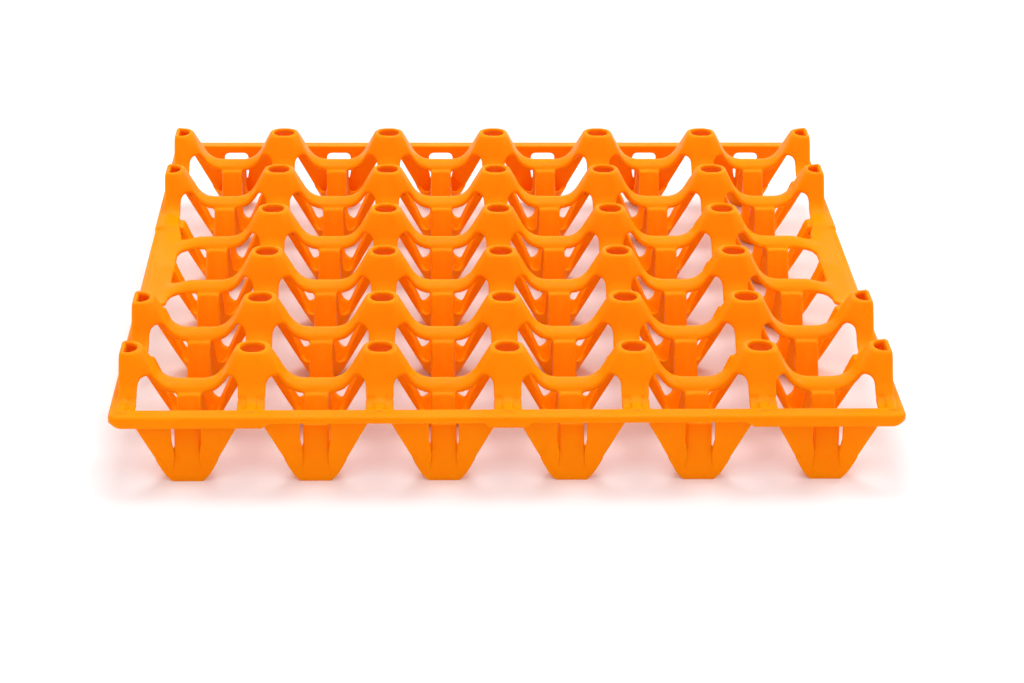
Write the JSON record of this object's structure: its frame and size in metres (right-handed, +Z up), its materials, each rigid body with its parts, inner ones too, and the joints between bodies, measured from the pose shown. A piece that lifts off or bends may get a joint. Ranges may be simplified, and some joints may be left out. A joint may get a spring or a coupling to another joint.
{
  "type": "egg tray",
  "caption": "Shallow square moulded plastic tray with hollow posts and open-sided conical cups that hold eggs apart.",
  "frame": {"origin": "centre of the tray's outline, on the plane of its feet", "axes": "+Z up, X across the six columns of cells, Y from front to back over the five rows"},
  "size_m": [0.3, 0.3, 0.044],
  "materials": {
    "tray_plastic": "semi-gloss"
  },
  "bodies": {
    "root": {"cell_r1_c1": "tray_plastic", "cell_r1_c2": "tray_plastic", "cell_r1_c3": "tray_plastic", "cell_r1_c4": "tray_plastic", "cell_r1_c5": "tray_plastic", "cell_r1_c6": "tray_plastic", "cell_r2_c1": "tray_plastic", "cell_r2_c2": "tray_plastic", "cell_r2_c3": "tray_plastic", "cell_r2_c4": "tray_plastic", "cell_r2_c5": "tray_plastic", "cell_r2_c6": "tray_plastic", "cell_r3_c1": "tray_plastic", "cell_r3_c2": "tray_plastic", "cell_r3_c3": "tray_plastic", "cell_r3_c4": "tray_plastic", "cell_r3_c5": "tray_plastic", "cell_r3_c6": "tray_plastic", "cell_r4_c1": "tray_plastic", "cell_r4_c2": "tray_plastic", "cell_r4_c3": "tray_plastic", "cell_r4_c4": "tray_plastic", "cell_r4_c5": "tray_plastic", "cell_r4_c6": "tray_plastic", "cell_r5_c1": "tray_plastic", "cell_r5_c2": "tray_plastic", "cell_r5_c3": "tray_plastic", "cell_r5_c4": "tray_plastic", "cell_r5_c5": "tray_plastic", "cell_r5_c6": "tray_plastic", "front_leg_1": "tray_plastic", "front_leg_2": "tray_plastic", "front_leg_3": "tray_plastic", "front_leg_4": "tray_plastic", "front_leg_5": "tray_plastic", "front_leg_6": "tray_plastic", "back_leg_1": "tray_plastic", "back_leg_2": "tray_plastic", "back_leg_3": "tray_plastic", "back_leg_4": "tray_plastic", "back_leg_5": "tray_plastic", "back_leg_6": "tray_plastic", "front_rim": "tray_plastic", "back_rim": "tray_plastic", "left_rim": "tray_plastic", "right_rim": "tray_plastic"}
  },
  "joints": []
}
